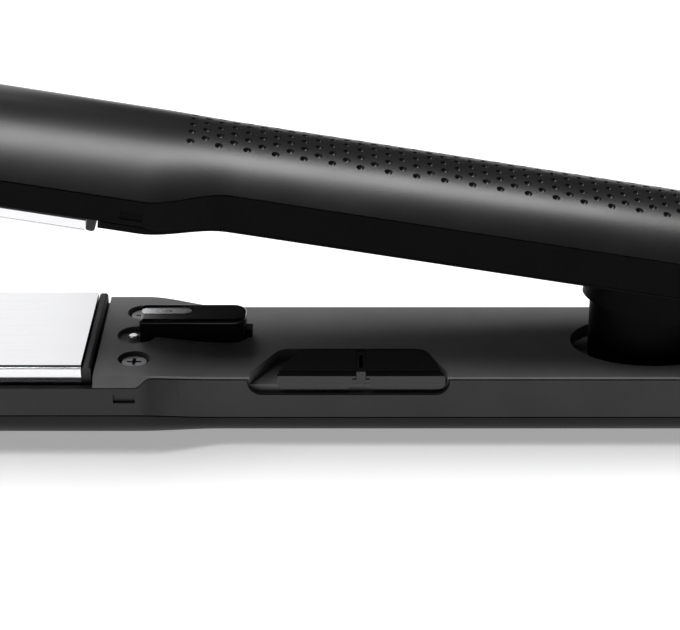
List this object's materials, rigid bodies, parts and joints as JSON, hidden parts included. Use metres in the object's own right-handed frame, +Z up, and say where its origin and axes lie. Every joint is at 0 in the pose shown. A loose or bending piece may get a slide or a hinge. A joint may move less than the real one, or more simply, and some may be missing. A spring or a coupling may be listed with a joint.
{
  "type": "flat_iron",
  "caption": "Hair flat iron, open at rest: two hinged arms with floating heated plates, spring cups, sliding two-button bar and a swivelling cord outlet",
  "frame": {"origin": "centre of the bounding box in plan, on the surface the lower arm lies on", "axes": "+X from the tips to the cord outlet along the lower arm, +Y away from the control side, +Z up"},
  "size_m": [0.279, 0.034, 0.0709],
  "materials": {
    "soft_touch_black": "soft-touch satin coating, fine grain",
    "frame_black": "moulded, fine texture",
    "cover_black": "moulded, fine texture, soft-touch",
    "gloss_black": "polished",
    "plate_metal": "polished coated face",
    "carrier_black": "heat-resistant, glass filled",
    "heater_ceramic": "matte",
    "spring_steel": "plain",
    "zinc_steel": "dark zinc plated",
    "sheet_steel": "plain sheet",
    "silicone": "heat-resistant silicone",
    "clear_window": "clear over a bright insert",
    "board_green": "solder mask",
    "component_black": "moulded",
    "lead_white": "braided glass sleeve",
    "washer_ptfe": "low friction",
    "metal_case": "drawn"
  },
  "bodies": {
    "lower_arm": {"lower_shell": "soft_touch_black", "lower_frame": "frame_black", "lower_face_cover": "cover_black", "lower_nose_cap": "soft_touch_black", "lower_heat_shield": "sheet_steel", "lower_cushions": "silicone", "lower_face_screws": "zinc_steel", "lower_leads": "lead_white", "tail_cover": "cover_black", "sensor_housing": "gloss_black", "sensor_window": "clear_window", "pilot_lens": "clear_window", "control_board": "board_green", "board_parts": "component_black", "tact_switches": "component_black", "spring_cup": "gloss_black", "arm_spring": "spring_steel", "hinge_bracket": "frame_black", "hinge_pin": "zinc_steel", "hinge_caps": "gloss_black", "hinge_washers": "washer_ptfe", "swivel_bush": "washer_ptfe"},
    "lower_plate_set": {"lower_plate": "plate_metal", "lower_plate_carrier": "carrier_black", "lower_heater": "heater_ceramic", "lower_heater_clip": "spring_steel", "lower_thermistor": "heater_ceramic"},
    "upper_arm": {"upper_shell": "soft_touch_black", "upper_frame": "frame_black", "upper_face_cover": "cover_black", "spring_collar": "gloss_black", "spring_seat": "sheet_steel", "hinge_knuckle": "frame_black", "upper_nose_cap": "soft_touch_black", "upper_heat_shield": "sheet_steel", "upper_cushions": "silicone", "upper_face_screws": "zinc_steel", "upper_leads": "lead_white", "thermal_fuse": "metal_case"},
    "upper_plate_set": {"upper_plate": "plate_metal", "upper_plate_carrier": "carrier_black", "upper_heater": "heater_ceramic", "upper_heater_clip": "spring_steel", "upper_thermistor": "heater_ceramic"},
    "lock_bar": {"control_bar": "gloss_black"},
    "left_key": {"left_button": "gloss_black"},
    "right_key": {"right_button": "gloss_black"},
    "swivel": {"cord_swivel": "gloss_black"}
  },
  "joints": [
    {"name": "arm_hinge", "type": "hinge", "parent": "lower_arm", "child": "upper_arm", "pos_m": [0.1115, 0, 0.01565], "axis": [0, 1, 0], "range_deg": [-9.4, 0], "stiffness_Nm_per_rad": 2.5, "springref_deg": 11.46, "deforming": ["arm_spring"]},
    {"name": "lower_plate_float", "type": "slide", "parent": "lower_arm", "child": "lower_plate_set", "axis": [0, 0, 1], "range_m": [-0.0008, 0], "stiffness_N_per_m": 2000, "springref_m": 0.0005},
    {"name": "upper_plate_float", "type": "slide", "parent": "upper_arm", "child": "upper_plate_set", "axis": [0.1633, 0, 0.9866], "range_m": [0, 0.0008], "stiffness_N_per_m": 2000, "springref_m": -0.0005},
    {"name": "lock_slide", "type": "slide", "parent": "lower_arm", "child": "lock_bar", "axis": [1, 0, 0], "range_m": [-0.004, 0]},
    {"name": "left_press", "type": "slide", "parent": "lock_bar", "child": "left_key", "axis": [0, 0, 1], "range_m": [-0.0006, 0], "stiffness_N_per_m": 900, "springref_m": 0.0003},
    {"name": "right_press", "type": "slide", "parent": "lock_bar", "child": "right_key", "axis": [0, 0, 1], "range_m": [-0.0006, 0], "stiffness_N_per_m": 900, "springref_m": 0.0003},
    {"name": "cord_turn", "type": "hinge", "parent": "lower_arm", "child": "swivel", "pos_m": [0.13, 0, 0.0061], "axis": [1, 0, 0], "continuous": true}
  ]
}
